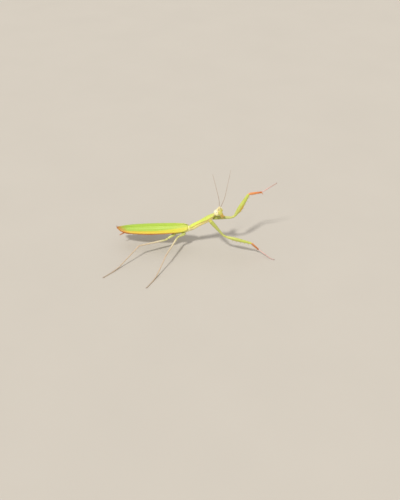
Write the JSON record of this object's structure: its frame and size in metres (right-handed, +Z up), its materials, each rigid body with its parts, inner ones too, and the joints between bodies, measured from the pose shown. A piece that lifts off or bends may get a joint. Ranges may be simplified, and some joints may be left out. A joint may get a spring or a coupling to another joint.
{
  "type": "praying mantis",
  "caption": "Slender green praying mantis, life size, standing with folded wings and one long spined foreleg raised and stretched out ahead.",
  "frame": {"origin": "on the floor under the middle of the bounding box", "axes": "+X towards the head and the outstretched foreleg, -Y the animal's right side, +Z up from the floor"},
  "size_m": [0.0904, 0.0552, 0.0484],
  "materials": {
    "green_cuticle": "satin yellow-green cuticle, finely grained, yellower along the edges",
    "grasping_femur": "satin yellow-green cuticle with a yellow patch and pale spines",
    "grasping_tibia": "satin orange-brown cuticle with dark-tipped spines",
    "tegmen": "leathery veined green forewing with a yellow front margin and an orange tip",
    "hindwing": "pale folded membrane",
    "abdomen": "satin green plates with paler seams",
    "tail": "satin orange-pink cuticle",
    "slender_leg": "pale pinkish-tan cuticle, green near the body",
    "pale_cuticle": "soft pale cream cuticle",
    "mouthparts": "satin yellow-orange cuticle",
    "eye": "smooth cream compound eye",
    "antenna": "fine ringed reddish-brown feeler"
  },
  "bodies": {
    "root": {"abdomen_1": "abdomen", "abdomen_2": "abdomen", "abdomen_3": "abdomen", "abdomen_4": "abdomen", "abdomen_5": "abdomen", "abdomen_6": "abdomen", "abdomen_7": "abdomen", "abdomen_8": "abdomen", "antenna_left": "antenna", "antenna_right": "antenna", "cercus_left": "tail", "cercus_right": "tail", "eye_left": "eye", "eye_right": "eye", "fore_coxa_left": "green_cuticle", "fore_coxa_right": "green_cuticle", "fore_femur_left": "grasping_femur", "fore_femur_right": "grasping_femur", "fore_tarsus_left": "slender_leg", "fore_tarsus_right": "slender_leg", "fore_tibia_left": "grasping_tibia", "fore_tibia_right": "grasping_tibia", "fore_trochanter_left": "green_cuticle", "fore_trochanter_right": "green_cuticle", "head": "green_cuticle", "hind_coxa_left": "green_cuticle", "hind_coxa_right": "green_cuticle", "hind_femur_left": "slender_leg", "hind_femur_right": "slender_leg", "hind_tarsus_left": "slender_leg", "hind_tarsus_right": "slender_leg", "hind_tibia_left": "slender_leg", "hind_tibia_right": "slender_leg", "hindwing_left": "hindwing", "hindwing_right": "hindwing", "labrum": "mouthparts", "mandibles": "mouthparts", "mesothorax": "green_cuticle", "metathorax": "green_cuticle", "mid_coxa_left": "green_cuticle", "mid_coxa_right": "green_cuticle", "mid_femur_left": "slender_leg", "mid_femur_right": "slender_leg", "mid_tarsus_left": "slender_leg", "mid_tarsus_right": "slender_leg", "mid_tibia_left": "slender_leg", "mid_tibia_right": "slender_leg", "neck": "pale_cuticle", "palp_left": "mouthparts", "palp_right": "mouthparts", "pronotum": "green_cuticle", "prosternum": "pale_cuticle", "subgenital_plate": "tail", "tegmen_left": "tegmen", "tegmen_right": "tegmen"}
  },
  "joints": []
}
